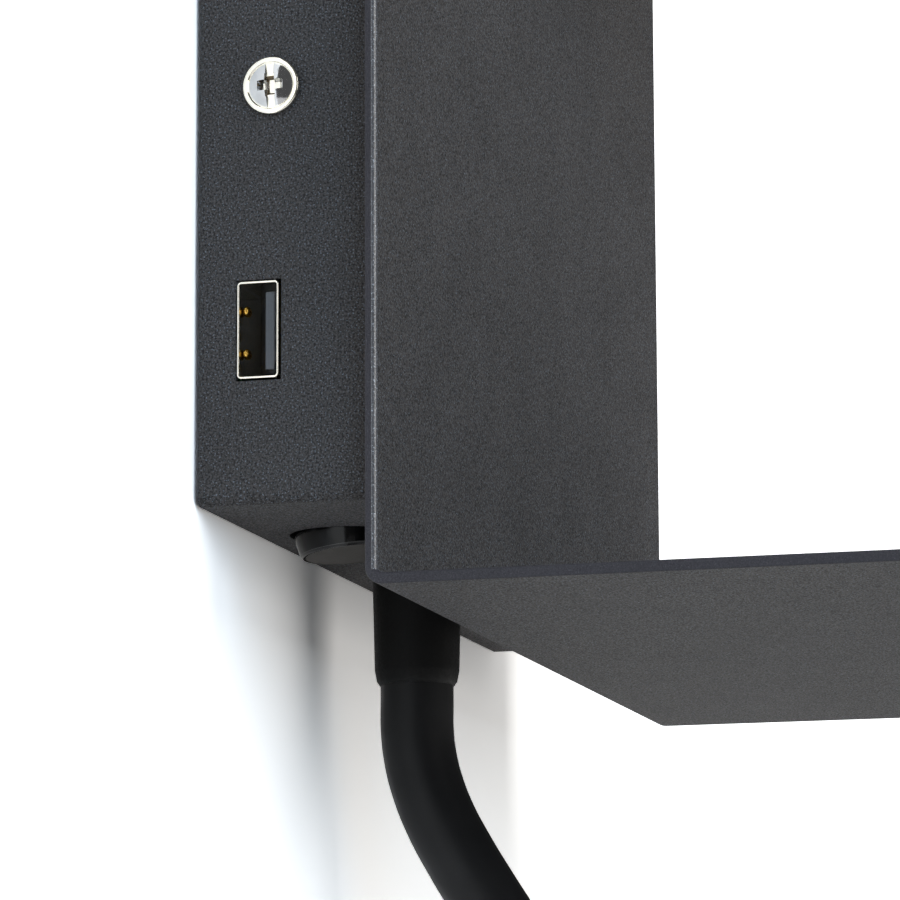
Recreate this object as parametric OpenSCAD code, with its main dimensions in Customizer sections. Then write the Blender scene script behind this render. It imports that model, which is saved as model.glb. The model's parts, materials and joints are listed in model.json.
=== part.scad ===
// Wall lamp with a shelf folded out of its back plate, a USB socket and a rocker switch.
// Origin: centre of the wall plate's back face. +Y points into the wall, the front is -Y, +Z is up.

/* [Shelf plate] */
// Width of the folded plate along the wall
plate_w = 168; // [160:1:220]
// Height of the back plate above the shelf's underside
plate_h = 250; // [244:1:300]
// Depth of the shelf, measured from the back plate's rear face
shelf_d = 130; // [100:1:180]
// Thickness of the folded sheet
sheet_t = 1.6; // [1.2:0.1:2.5]
// Inner radius of the fold
bend_r = 0.7; // [0.4:0.1:3]
// Radius of the four free corners
corner_r = 2.5; // [1:0.5:6]

/* [Housing] */
// Depth of the housing, from the wall to the back plate
housing_d = 25; // [25:1:40]
// Inset of the housing's sides behind the plate's edges
side_inset = 6; // [2:0.5:9]
// Inset of the housing's bottom and top behind the plate's ends
end_inset = 12.4; // [8:0.2:14]
// Thickness of the housing's sheet
wall_t = 1.2; // [0.8:0.1:1.4]
// Outer radius of the housing's folds
fold_r = 1.5; // [1.5:0.1:3]

/* [Wall plate] */
// Thickness of the wall plate
wall_plate_t = 1.5; // [1:0.1:2]
// Gap between the wall plate and the housing all round
plate_slip = 0.2; // [0.1:0.05:0.3]
// Thickness of the side tabs
tab_t = 2; // [1.5:0.1:3]
// Height of each side tab
tab_h = 16; // [12:1:20]
// Width between the wall screws
wall_hole_dx = 100; // [80:1:106]
// Height between the wall screws
wall_hole_dz = 140; // [130:1:150]
// Radius of the wall screw holes
wall_hole_r = 2.6; // [2:0.1:3]

/* [Side screws] */
// Distance of the side screws from the housing's bottom and top
side_screw_up = 56.6; // [50:0.2:62]
// Distance of the side screws from the wall
side_screw_out = 10.4; // [9:0.2:12]
// Thread radius of the side screws
m4_r = 2; // [1.5:0.1:2.5]
// Length of the side screws under the head
side_screw_l = 8; // [6:0.5:10]
// Radius of the screw head
head_r = 3.95; // [3.2:0.05:4.5]
// Height of the head's flat ring
head_ring_h = 1.1; // [0.8:0.1:1.6]
// Radius of the head's dome
dome_r = 3.1; // [2.6:0.1:3.1]
// Height of the dome above the ring
dome_h = 0.6; // [0.4:0.1:1]

/* [USB socket] */
// Thickness of the socket's shell across its narrow side
usb_w = 5.8; // [5.6:0.1:6]
// Height of the socket's shell
usb_h = 13.2; // [13:0.1:13.6]
// Sheet of the socket's shell
usb_t = 0.3; // [0.2:0.05:0.4]
// Depth of the socket
usb_l = 14; // [13:0.5:15]
// How far the rim stands out of the housing
usb_proud = 0.3; // [0.1:0.1:0.8]
// Distance of the socket's middle from the wall
usb_out = 8.5; // [8.5:0.1:9.5]
// Height of the socket's middle above the housing's bottom
usb_up = 23.4; // [23:0.2:25]
// Thickness of the socket's tongue
tongue_t = 1.3; // [1:0.1:1.6]
// Thickness of the charger's board
board_t = 1.6; // [1:0.1:2]

/* [Rocker switch] */
// Distance of the switch from the housing's left side
switch_in = 30.4; // [29:0.2:32]
// Radius of the round rocker where it meets the housing
rocker_r = 8.2; // [8:0.1:8.6]
// Radius of the rocker at its rim
rim_r = 7.65; // [7.5:0.05:7.9]
// How far the middle of the rocker stands out of the housing
rocker_out = 2.6; // [2.2:0.1:3]
// Angle of the rocker at each end of its throw
rock_angle = 5.8; // [4:0.2:6]
// Radius of the rocker's pins
rocker_pin_r = 0.9; // [0.7:0.1:1.1]

/* [Lamp head] */
// Distance of the lamp's swivel from the plate's top
swivel_inset = 35; // [31:1:37]
// Distance from the plate's front to the tilt pin
pivot_out = 42; // [38:1:60]
// Radius of the shade
shade_r = 22; // [20:0.5:25]
// Wall of the shade
shade_t = 1.5; // [1:0.1:2]
// Length of the shade
shade_l = 75; // [70:1:90]
// Radius of the rosette
rosette_r = 23; // [18:0.5:26]
// Thickness of the rosette
rosette_t = 9; // [6:0.5:14]
// Radius of the stem
stem_r = 6; // [5:0.1:6.5]
// Radius of the stem's journal in its bush
journal_r = 4; // [3.5:0.1:4.5]
// Thickness of the lug between the fork's ears
lug_t = 8; // [6:0.5:10]
// Thickness of each fork ear
ear_t = 3; // [2:0.5:4]
// Radius of the tilt pin
pin_r = 2.5; // [2:0.1:3]

/* [Cord] */
// Diameter of the cord
cord_d = 10.6; // [10:0.1:10.8]
// Radius of the rubber sleeve at the housing
sleeve_r = 6.4; // [6:0.1:6.6]
// Radius of the rubber sleeve near its tip
sleeve_tip_r = 6.1; // [5.8:0.1:6.3]
// Distance of the cord from the housing's left side
cord_in = 60; // [58:0.5:66]
// Distance of the cord's exit from the wall
cord_out = 13.5; // [13:0.5:14]
// Mean diameter of the put-away coil
coil_d = 122; // [112:1:130]
// Step from one turn or layer of the coil to the next
coil_step = 11.5; // [11.3:0.1:14]

/* [Plug] */
// Radius of the plug's front
plug_r = 18; // [17:0.5:19]
// Length of the plug's strain relief
plug_relief_l = 28; // [20:1:34]
// Length of the plug's body
plug_l = 34; // [30:1:40]
// Radius of each plug pin
plug_pin_r = 2.4; // [2:0.1:2.5]
// Free length of each plug pin
plug_pin_l = 19; // [18:0.5:20]
// Distance between the plug pins' axes
plug_pin_gap = 19; // [18:0.5:20]

/* [Hidden] */
$fn = 64;

// Small clearances
run_fit = 0.05;    // a shaft in its bore
hole_fit = 0.2;    // a fixed part in its cut-out
thread_fit = 0.02; // a screw in its thread
face_fit = 0.3;    // moving faces
over = 1;          // how far a cutter runs past the face it cuts

// Colours
graphite = "#48494c";
black = "#1c1c1d";
nickel = "#c9c6bf";
zinc = "#a7abb0";

// Places that follow from the sizes above
housing_w = plate_w - 2 * side_inset;
housing_h = plate_h - 2 * end_inset;
side_x = housing_w / 2;            // the housing's right side, outer face
inner_x = side_x - wall_t;
floor_z = -housing_h / 2;          // the housing's underside
inner_z = housing_h / 2 - wall_t;  // inner half height
back_y = -housing_d;               // rear face of the back plate
front_y = back_y - sheet_t;        // front face of the back plate
well_y = back_y + wall_t;          // inner face of the housing's front wall
shelf_z = floor_z - end_inset;     // underside of the shelf
plate_top = shelf_z + plate_h;
head_z = plate_top - swivel_inset;

// Welded studs and their nuts
stud_r = 2;
stud_l = 7;
stud_nut_h = 3.2;
stud_nut_r = 4;
stud_in = 18;        // from the housing's side
stud_end = 17.6;     // from the housing's end
stud_x = side_x - stud_in;
stud_z = housing_h / 2 - stud_end;

// Side screws
side_screw_y = -side_screw_out;
side_screw_z = housing_h / 2 - side_screw_up;
dome_ball_r = (dome_r * dome_r + dome_h * dome_h) / (2 * dome_h);
slot_w = 1.3;
slot_deep = 0.8;
cross_l = 4.4;
cross_w = 1.1;
cross_deep = 1.3;

// Socket and charger board
usb_y = -usb_out;
usb_z = floor_z + usb_up;
usb_mouth_x = -side_x - usb_proud;
usb_end_x = usb_mouth_x + usb_l;
usb_back_t = 4;
usb_corner_r = 0.6;
usb_cut_gap = 0.25;
tongue_back = 1.2;  // the tongue's tip lies this far inside the rim
tongue_h = 10.6;
tongue_gap = 0.6;   // from the shell's wall to the tongue
tongue_y = usb_y - usb_w / 2 + usb_t + tongue_gap + tongue_t / 2;
contact_t = 0.15;
contact_w = 1.1;
contact_step = 2.2;
contact_back = 1;     // from the tongue's tip to the strips
board_y = usb_y + usb_w / 2;      // the board's front face, which carries the socket
board_gap = 1;
board_w = 39.8;
board_below = 14.8;
board_above = 13.2;
board_x0 = -inner_x + board_gap;
board_x1 = board_x0 + board_w;
board_z0 = usb_z - board_below;
board_z1 = usb_z + board_above;
pillar_r = 2.2;
pillar_edge = 3;
board_screw_r = 1.2;
board_screw_l = 5;
board_screw_head_h = 1.2;
transformer_w = 11;
transformer_h = 12;
transformer_gap = 1.7;
transformer_down = 1.8;
capacitor_r = 3.5;
capacitor_l = 12;
capacitor_in = 6.3;
capacitor_up = 1.2;

// Rocker switch, whose frame stands on the housing's floor
switch_x = -side_x + switch_in;
switch_y = -housing_d / 2;
pin_up = 2.6;          // from the housing's underside to the rocker's pins
pin_z = floor_z + pin_up;
rocker_gap = 0.4;      // round the rocker
switch_hole_r = rocker_r + rocker_gap;
rocker_top = 1.4;      // from the pins to the rocker's inner face
rocker_draft = 0.2;
rim_cut = 0.35;
face_in = 0.7;         // from the rim to the groove round the matt face
groove_w = 0.25;
groove_deep = 0.4;
frame_wall = 1.6;
frame_r = switch_hole_r + frame_wall;
frame_h = 6.8;
frame_roof = 1.2;
frame_floor_z = floor_z + wall_t;
frame_top_z = frame_floor_z + frame_h;
pin_half = switch_hole_r + 0.9;
ear_stud_x = frame_r + 3.4;
ear_half = 3;
frame_ear_t = 2;
ear_stud_r = 1.5;
ear_stud_l = 6;
ear_nut_h = 2.4;
ear_nut_r = 3;
spring_l = 2.3;
spring_r = 1;
spring_wire_r = 0.2;
spring_turns = 2.5;
block_r = 5.5;
block_h = 8;

// Terminal block and driver
block_x0 = -14;
block_x1 = 16;
block_up = 40.6;
block_z0 = floor_z + block_up;
block_tall = 16;
block_z1 = block_z0 + block_tall;
block_deep = 14;
way_r = 3;
way_h = 2;
function way_x(i) = block_x0 + (block_x1 - block_x0) * (2 * i + 1) / 6;
driver_w = 92;
driver_h = 40;
driver_deep = 17;
driver_z0 = -32;
ear_w = 8;
ear_h = 3;
driver_screw_head_r = 3;
driver_screw_head_h = 1.6;

// Cord inside the housing
cord_r = cord_d / 2;
cord_x = -side_x + cord_in;
cord_y = -cord_out;
sleeve_l = 17.4;
sleeve_root = 2;     // straight part under the housing
sleeve_lip = 2.2;
lip_step = 0.6;      // last step down to the cord
lip_t = 0.1;
flange_r = 9;
flange_h = 2.5;
cord_top_z = floor_z + 24;
clamp_z0 = floor_z + 12;
clamp_h = 9;
clamp_w = 27;
clamp_split = 0.3;
clamp_cover = 2;
clamp_top_y = cord_y + cord_r + clamp_cover;
clamp_screw_r = 1.6;
clamp_screw_dx = 10;
clamp_hole_floor = 2;
clamp_screw_floor = 3;
clamp_head_r = 2.8;
clamp_head_h = 1.4;

// Wires inside the housing
wire_r = 1.1;
wire_y = well_y + block_deep / 2;
core_step = 2.6;    // between the cord's cores
core_rise = 3;      // how far the first core runs on before it turns
wire_lead = 8;      // straight run at a terminal
wire_in = 4;        // from the block's edge to its side terminals
wire_edge = 2;      // from the board's edge to its wire
wire_leg = 3;       // straight run at a soldered end
wire_side = 10;     // how far a wire swings out on its way

// Rosette, bush and stem
bush_r = 6.5;
bush_flange_r = 9.5;
bush_flange_t = 2;
bush_in = 10;        // how far the bush reaches into the housing
bush_end_y = well_y + bush_in;
bush_nut_h = 4;
bush_nut_r = 9.8;
rosette_y = front_y - rosette_t;
rosette_edge_r = 2;
stem_bore_r = 2;
clip_t = 1.2;
clip_slip = 0.15;     // from the bush's end to the clip
stem_past_clip = 0.25;
stem_end_y = bush_end_y + clip_slip + clip_t + stem_past_clip;
pivot_y = front_y - pivot_out;
fork_r = 8.5;
fork_round_r = 9.6;
fork_web = 5.5;
fork_reach = 12.5;   // from the tilt pin to the fork's web
fork_y = pivot_y + fork_reach;
washer_t = 0.5;
ear_x = lug_t / 2 + washer_t + 2 * run_fit;
pin_head_h = 2;
pin_head_r = 4.4;
pin_short = 0.5;     // how far the pin stops inside its nut
washer_r = 7;
lug_r = 8.4;
lug_half = 6;        // half the lug's thickness below its eye
tilt_nut_h = 3;

// Lamp head, measured down from the tilt pin
cap_top = 11;
cap_t = 3;
spigot_l = 5;
shade_top = cap_top + cap_t;
shade_end = shade_top + shade_l;
lens_t = 2.5;
ring_h = 3;
recess = 11.5;
ring_bot = shade_end - recess;
lens_bot = ring_bot - ring_h;
lens_top = lens_bot - lens_t;
sink_top = shade_top + spigot_l;
sink_h = 22;
sink_base = 4;
fins = 12;
fin_t = 1.2;
sink_core_r = 7;
led_board_t = 1.6;
led_board_r = 15;
chip_t = 0.8;
chip_r = 5.5;
led_top = sink_top + sink_h;
reflector_t = 0.8;
reflector_gap = 0.5;  // round the chip
ring_w = 1.8;
inside_r = shade_r - shade_t;
fit_r = inside_r - run_fit;

// Route of the free cord, from the sleeve's tip to where the coil begins
cord_route = [
    [-18, -13.5, -130], [-18, -13.5, -133], [-18, -13.5, -136], [-18, -13.9, -140], [-18, -15, -144.5],
    [-18, -17, -149.5], [-18, -20, -155], [-18, -23.4, -160.5], [-18, -26.6, -165.5],
    [-18, -29.4, -170.5], [-18, -31.4, -175.5], [-18, -32.6, -180.5], [-18, -33, -185.5],
    [-18, -33, -190.5], [-18, -33, -196]
];
cord_sides = 10;
coil_sides = 6;
loop_rings = 24;
coil_start = cord_route[len(cord_route) - 1];
lead_turn = 60;     // the lead bends through this angle to meet the coil
lead_bend_r = 50;
lead_rings = 4;
coil_turn = 1500;   // the coil's whole angle
coil_from = 120;    // the angle at which the coil begins
coil_in_r = coil_d / 2 - coil_step * coil_turn / 1440;  // radius where the spiral reverses
coil_out_r = coil_in_r + coil_step * coil_turn / 720;
tail_l = 30;
lead_end = coil_start + [
    -lead_bend_r * (1 - cos(lead_turn)), 0, -cord_d - lead_bend_r * sin(lead_turn)
];
coil_centre = lead_end - coil_out_r * [cos(coil_from), 0, sin(coil_from)];
half_climb = 90;
tie_t = 1.2;
tie_gap = 0.4;
tie_w = 8;
tie_corner_r = 3;
tie_turn = 30;      // the tie lies this far past the coil's start

// Radius and layer of the coil after it has turned through angle a
function coil_radius(a) = coil_in_r + coil_step * abs(a - coil_turn / 2) / 360;
function climb(a) = min(1, max(0, (a - coil_turn / 2 + half_climb) / (2 * half_climb)));
function ease(t) = t * t * (3 - 2 * t);
function coil_point(a) = coil_centre
    + coil_radius(a) * [cos(coil_from + a), 0, sin(coil_from + a)]
    + [0, coil_step * ease(climb(a)), 0];
ring_angle = 360 / loop_rings;
coil_turns_pts = [for (a = [0 : ring_angle : coil_turn]) coil_point(a)];
lead_pts = [for (i = [0 : lead_rings - 1])
    let (b = lead_turn * i / lead_rings)
    coil_start + [-lead_bend_r * (1 - cos(b)), 0, -cord_d - lead_bend_r * sin(b)]];
coil_end = coil_turns_pts[len(coil_turns_pts) - 1];
tail_end = [coil_end[0], coil_end[1], coil_end[2] - tail_l];
coil_pts = concat([coil_start], lead_pts, coil_turns_pts, [tail_end + [0, 0, cord_d], tail_end]);

// Least gap between turns that lie beside or on each other
coil_gap = min([for (i = [0 : len(coil_turns_pts) - 1])
    for (j = [i + loop_rings / 2 : 1 : len(coil_turns_pts) - 1])
        norm(coil_turns_pts[i] - coil_turns_pts[j])]) - cord_d;
echo(str("least gap of the coiled cord to itself: ", coil_gap, " mm"));
function path_length(p, i = 1) = i < len(p) ? norm(p[i] - p[i - 1]) + path_length(p, i + 1) : 0;
echo(str("cord outside the sleeve: ", path_length(cord_route) + path_length(coil_pts), " mm"));

// Plug, measured down from the end of the tail
plug_at = tail_end;
relief_r0 = 6.4;
relief_r1 = 8;
plug_neck_r = 12;
plug_neck_l = 4;
plug_grip_r = 14.5;
plug_grip_in = 12;   // where the grip begins and ends
plug_shoulder = 8;   // height of the front disc
plug_edge = 0.8;
plug_notch_w = 6;
plug_notch_deep = 2.4;
plug_notch_h = 9;
plug_end = plug_relief_l + plug_l;
clip_w = 6;
clip_plate_t = 1;
clip_seat = 1.7;     // depth of the clips' seats in the front disc
clip_slack = 0.2;

// A tube swept along points, with rings square to the path
function unit(v) = v / norm(v);
function tangent(p, i) = unit(p[min(i + 1, len(p) - 1)] - p[max(i - 1, 0)]);
function square_to(u, t) = unit(u - (u * t) * t);
function frames(p, u0) = [for (i = 0, u = square_to(u0, tangent(p, 0)); i < len(p);
    i = i + 1, u = i < len(p) ? square_to(u, tangent(p, i)) : u) u];
module tube(p, r, sides, u0 = [0, 1, 0]) {
    us = frames(p, u0);
    rings = len(p);
    pts = [for (i = [0 : rings - 1]) for (k = [0 : sides - 1])
        p[i] + r * (cos(360 * k / sides) * us[i] + sin(360 * k / sides) * cross(tangent(p, i), us[i]))];
    skin = [for (i = [0 : rings - 2]) for (k = [0 : sides - 1])
        let (n = (k + 1) % sides, a = i * sides, b = a + sides)
        for (f = [[a + k, b + k, b + n], [a + k, b + n, a + n]]) f];
    first = [for (k = [1 : sides - 2]) [0, k, k + 1]];
    end = (rings - 1) * sides;
    last = [for (k = [1 : sides - 2]) [end, end + k + 1, end + k]];
    polyhedron(points = pts, faces = concat(first, skin, last));
}

// Round bars along each axis, and a block between two corners
module bar_x(at, r, l) translate(at) rotate([0, 90, 0]) cylinder(r = r, h = l);
module bar_y(at, r, l) translate(at) rotate([-90, 0, 0]) cylinder(r = r, h = l);
module bar_z(at, r, l) translate(at) cylinder(r = r, h = l);
module block(lo, hi) translate(lo) cube(hi - lo);
module hex_y(at, r, l, bore) difference() {
    translate(at) rotate([-90, 0, 0]) cylinder(r = r, h = l, $fn = 6);
    bar_y(at - [0, over, 0], bore, l + 2 * over);
}

// A rectangle with round corners, centred
module round_rect(w, h, r) {
    square([w - 2 * r, h], center = true);
    square([w, h - 2 * r], center = true);
    for (x = [-1, 1], y = [-1, 1]) translate([x * (w / 2 - r), y * (h / 2 - r)]) circle(r);
}

// What is cut off a square corner at the origin to leave radius r
module corner_cut(r) difference() {
    translate([-over, -over]) square(r + over);
    translate([r, r]) circle(r);
}

// ---- Sheet metal ----

module wall_plate() color(zinc) difference() {
    w = 2 * (inner_x - plate_slip);
    h = 2 * (inner_z - plate_slip);
    union() {
        block([-w / 2, -wall_plate_t, -h / 2], [w / 2, 0, h / 2]);
        for (x = [-1, 1], z = [-1, 1])
            translate([x * (w - tab_t) / 2, (side_screw_y - head_r) / 2, z * side_screw_z])
                cube([tab_t, head_r - side_screw_y, tab_h], center = true);
    }
    for (x = [-1, 1], z = [-1, 1]) {
        bar_y([x * wall_hole_dx / 2, -wall_plate_t - over, z * wall_hole_dz / 2], wall_hole_r,
            wall_plate_t + 2 * over);
        bar_x([x * (w / 2 - tab_t / 2) - tab_t, side_screw_y, z * side_screw_z], m4_r + thread_fit,
            2 * tab_t);
    }
}

module housing() color(graphite) difference() {
    rotate([90, 0, 0]) linear_extrude(housing_d) round_rect(housing_w, housing_h, fold_r);
    translate([0, over, 0]) rotate([90, 0, 0]) linear_extrude(housing_d - wall_t + over)
        round_rect(2 * inner_x, 2 * inner_z, fold_r - wall_t);
    // cut-out of the socket
    block([-side_x - over, usb_y - usb_w / 2 - usb_cut_gap, usb_z - usb_h / 2 - usb_cut_gap],
        [-inner_x + over, usb_y + usb_w / 2 + usb_cut_gap, usb_z + usb_h / 2 + usb_cut_gap]);
    for (x = [-1, 1], z = [-1, 1]) {
        bar_x([x * (side_x - wall_t / 2) - wall_t, side_screw_y, z * side_screw_z], m4_r + hole_fit,
            2 * wall_t);
        bar_y([x * stud_x, back_y - over, z * stud_z], stud_r + hole_fit, wall_t + 2 * over);
    }
    bar_z([switch_x, switch_y, floor_z - over], switch_hole_r, wall_t + 2 * over);
    bar_z([cord_x, cord_y, floor_z - over], sleeve_r, wall_t + 2 * over);
    bar_y([0, back_y - over, head_z], bush_r + run_fit, wall_t + 2 * over);
}

module shelf_plate() color(graphite) difference() {
    outer_r = bend_r + sheet_t;
    translate([plate_w / 2, back_y, shelf_z]) rotate([90, 0, -90]) linear_extrude(plate_w) difference() {
        union() {
            square([sheet_t, plate_h]);
            square([shelf_d, sheet_t]);
            square(outer_r);
        }
        translate([outer_r, outer_r]) circle(bend_r);
        corner_cut(outer_r);
    }
    for (x = [0, 1]) {
        translate([0, back_y + over, plate_top]) mirror([x, 0, 0]) translate([-plate_w / 2, 0, 0])
            rotate([90, 0, 0]) linear_extrude(sheet_t + 2 * over) mirror([0, 1, 0]) corner_cut(corner_r);
        translate([0, back_y - shelf_d, shelf_z - over]) mirror([x, 0, 0]) translate([-plate_w / 2, 0, 0])
            linear_extrude(sheet_t + 2 * over) corner_cut(corner_r);
    }
    bar_y([0, front_y - over, head_z], bush_r + run_fit, sheet_t + 2 * over);
}

module weld_studs() color(zinc) {
    for (x = [-1, 1], z = [-1, 1])
        bar_y([x * stud_x, back_y, z * stud_z], stud_r, wall_t + stud_l);
    for (x = [-1, 1])
        bar_z([switch_x + x * ear_stud_x, switch_y, frame_floor_z], ear_stud_r, ear_stud_l);
}

module stud_nuts() color(zinc) for (x = [-1, 1], z = [-1, 1])
    hex_y([x * stud_x, well_y, z * stud_z], stud_nut_r, stud_nut_h, stud_r + thread_fit);

// Pan head with a slot right across and a shorter cross arm
module pan_screw() difference() {
    union() {
        translate([0, 0, -side_screw_l]) cylinder(r = m4_r, h = side_screw_l);
        cylinder(r = head_r, h = head_ring_h);
        rotate_extrude() intersection() {
            square([dome_r, head_ring_h + dome_h]);
            translate([0, head_ring_h + dome_h - dome_ball_r]) circle(dome_ball_r);
        }
    }
    translate([-slot_w / 2, -dome_r, head_ring_h + dome_h - slot_deep]) cube([slot_w, 2 * dome_r, over]);
    translate([-cross_l / 2, -cross_w / 2, head_ring_h + dome_h - cross_deep])
        cube([cross_l, cross_w, over + dome_h]);
}

module side_screws() color(nickel) for (x = [0, 1], z = [-1, 1])
    mirror([x, 0, 0]) translate([-side_x, side_screw_y, z * side_screw_z])
        rotate([0, -90, 0]) rotate(90) pan_screw();

// ---- USB socket and charger ----

module usb_shell() color(nickel) translate([usb_mouth_x, usb_y, usb_z]) rotate([90, 0, 90])
    linear_extrude(usb_l) difference() {
        round_rect(usb_w, usb_h, usb_corner_r);
        round_rect(usb_w - 2 * usb_t, usb_h - 2 * usb_t, usb_corner_r - usb_t);
    }

module usb_insulator() color("#50545a") {
    in_w = usb_w / 2 - usb_t;
    in_h = usb_h / 2 - usb_t;
    translate([usb_end_x - usb_back_t, usb_y, usb_z]) rotate([90, 0, 90]) linear_extrude(usb_back_t)
        round_rect(2 * in_w, 2 * in_h, usb_corner_r - usb_t);
    block([usb_mouth_x + tongue_back, tongue_y - tongue_t / 2, usb_z - tongue_h / 2],
        [usb_end_x - usb_back_t, tongue_y + tongue_t / 2, usb_z + tongue_h / 2]);
}

module usb_contacts() color("gold") for (i = [-1.5 : 1 : 1.5])
    translate([0, 0, usb_z + i * contact_step])
        block([usb_mouth_x + tongue_back + contact_back, tongue_y + tongue_t / 2, -contact_w / 2],
            [usb_end_x - usb_back_t, tongue_y + tongue_t / 2 + contact_t, contact_w / 2]);

pillar_spots = [for (x = [board_x0 + pillar_edge, board_x1 - pillar_edge],
    z = [board_z0 + pillar_edge, board_z1 - pillar_edge]) [x, z]];

module usb_board() color("darkgreen") difference() {
    block([board_x0, board_y, board_z0], [board_x1, board_y + board_t, board_z1]);
    for (s = pillar_spots)
        bar_y([s[0], board_y - over, s[1]], board_screw_r + hole_fit, board_t + 2 * over);
}

module usb_transformer() color("goldenrod")
    translate([usb_end_x + transformer_gap, board_y - transformer_w, usb_z - transformer_down])
        cube([transformer_w, transformer_w, transformer_h]);

module usb_capacitor() color("navy")
    bar_y([board_x1 - capacitor_in, board_y - capacitor_l, usb_z + capacitor_up], capacitor_r,
        capacitor_l);

module board_pillars() color(zinc) for (s = pillar_spots) difference() {
    bar_y([s[0], well_y, s[1]], pillar_r, board_y - well_y);
    bar_y([s[0], board_y - board_screw_l - over, s[1]], board_screw_r + thread_fit,
        board_screw_l + 2 * over);
}

module board_screws() color(nickel) for (s = pillar_spots) {
    bar_y([s[0], board_y - board_screw_l, s[1]], board_screw_r, board_screw_l + board_t);
    bar_y([s[0], board_y + board_t, s[1]], pillar_r, board_screw_head_h);
}

// ---- Rocker switch under the housing ----

// Round frame with a bore for the rocker, a roof, and an ear on each side
module switch_frame() color(black) translate([switch_x, switch_y, frame_floor_z]) difference() {
    union() {
        cylinder(r = frame_r, h = frame_h);
        for (x = [-1, 1]) {
            translate([x * ear_stud_x, 0, 0]) cylinder(r = ear_half, h = frame_ear_t);
            translate([x * ear_stud_x / 2, 0, frame_ear_t / 2])
                cube([ear_stud_x, 2 * ear_half, frame_ear_t], center = true);
        }
    }
    translate([0, 0, -over]) cylinder(r = switch_hole_r, h = frame_h - frame_roof + over);
    bar_x([-frame_r - over, 0, pin_up - wall_t], rocker_pin_r + run_fit, 2 * (frame_r + over));
    for (x = [-1, 1]) bar_z([x * ear_stud_x, 0, -over], ear_stud_r + hole_fit, frame_ear_t + 2 * over);
}

module switch_nuts() color(zinc) for (x = [-1, 1]) difference() {
    translate([switch_x + x * ear_stud_x, switch_y, frame_floor_z + frame_ear_t])
        cylinder(r = ear_nut_r, h = ear_nut_h, $fn = 6);
    bar_z([switch_x + x * ear_stud_x, switch_y, frame_floor_z], ear_stud_r + thread_fit,
        frame_ear_t + ear_nut_h + over);
}

// The rocker rests with its wall side out
module at_rest() translate([switch_x, switch_y, pin_z]) rotate([-rock_angle, 0, 0]) children();

module switch_rocker() color("#2c2a28") at_rest() {
    face = -pin_up - rocker_out;
    face_r = rim_r - face_in;
    rotate_extrude() polygon([
        [0, face], [face_r, face], [face_r, face + groove_deep], [face_r + groove_w, face + groove_deep],
        [face_r + groove_w, face], [rim_r - rim_cut, face], [rim_r, face + rim_cut],
        [rocker_r, -pin_up], [rocker_r - rocker_draft, rocker_top], [0, rocker_top]
    ]);
    bar_x([-pin_half, 0, 0], rocker_pin_r, 2 * pin_half);
}

module switch_spring() color("silver") at_rest() {
    turn = 360 * spring_turns;
    tube([for (a = [0 : 30 : turn]) [spring_r * cos(a), spring_r * sin(a),
        rocker_top + spring_wire_r + (spring_l - 2 * spring_wire_r) * a / turn]],
        spring_wire_r, 6, [0, 0, 1]);
}

module switch_block() color(black) bar_z([switch_x, switch_y, frame_top_z], block_r, block_h);

// ---- Terminals, driver and cord clamp ----

module terminal_block() color("ivory") {
    block([block_x0, well_y, block_z0], [block_x1, well_y + block_deep, block_z1]);
    for (i = [0 : 2]) bar_y([way_x(i), well_y + block_deep, (block_z0 + block_z1) / 2], way_r, way_h);
}

module led_driver() color("whitesmoke") difference() {
    union() {
        translate([-driver_w / 2, well_y, driver_z0]) cube([driver_w, driver_deep, driver_h]);
        for (x = [-1, 1])
            translate([x * (driver_w + ear_w) / 2, well_y + ear_h / 2, driver_z0 + driver_h / 2])
                cube([ear_w, ear_h, ear_w], center = true);
    }
    for (x = [-1, 1]) bar_y([x * (driver_w + ear_w) / 2, well_y - over, driver_z0 + driver_h / 2],
        clamp_screw_r + hole_fit, ear_h + 2 * over);
}

module driver_screws() color(nickel) for (x = [-1, 1]) {
    at = [x * (driver_w + ear_w) / 2, well_y, driver_z0 + driver_h / 2];
    bar_y(at, clamp_screw_r, ear_h);
    bar_y(at + [0, ear_h, 0], driver_screw_head_r, driver_screw_head_h);
}

module cord_bore() bar_z([cord_x, cord_y, clamp_z0 - over], cord_r, clamp_h + 2 * over);

module clamp_saddle() color(black) difference() {
    block([cord_x - clamp_w / 2, well_y, clamp_z0],
        [cord_x + clamp_w / 2, cord_y - clamp_split, clamp_z0 + clamp_h]);
    cord_bore();
    for (x = [-1, 1])
        bar_y([cord_x + x * clamp_screw_dx, well_y + clamp_hole_floor, clamp_z0 + clamp_h / 2],
            clamp_screw_r + thread_fit, housing_d);
}

module clamp_strap() color(black) difference() {
    block([cord_x - clamp_w / 2, cord_y + clamp_split, clamp_z0],
        [cord_x + clamp_w / 2, clamp_top_y, clamp_z0 + clamp_h]);
    cord_bore();
    for (x = [-1, 1]) bar_y([cord_x + x * clamp_screw_dx, cord_y, clamp_z0 + clamp_h / 2],
        clamp_screw_r + hole_fit, housing_d);
}

module clamp_screws() color(nickel) for (x = [-1, 1]) {
    at = [cord_x + x * clamp_screw_dx, clamp_top_y, clamp_z0 + clamp_h / 2];
    shank_l = clamp_top_y - well_y - clamp_screw_floor;
    bar_y(at - [0, shank_l, 0], clamp_screw_r, shank_l);
    bar_y(at, clamp_head_r, clamp_head_h);
}

module cord_sleeve() color(black) translate([cord_x, cord_y, floor_z]) rotate_extrude() polygon([
    [cord_r, wall_t + flange_h], [flange_r, wall_t + flange_h], [flange_r, wall_t], [sleeve_r, wall_t],
    [sleeve_r, 0], [sleeve_r, -sleeve_root], [sleeve_tip_r, sleeve_lip - sleeve_l],
    [(sleeve_tip_r + cord_r) / 2 + lip_t, lip_step - sleeve_l], [cord_r + lip_t, -sleeve_l],
    [cord_r, -sleeve_l]
]);

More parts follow.
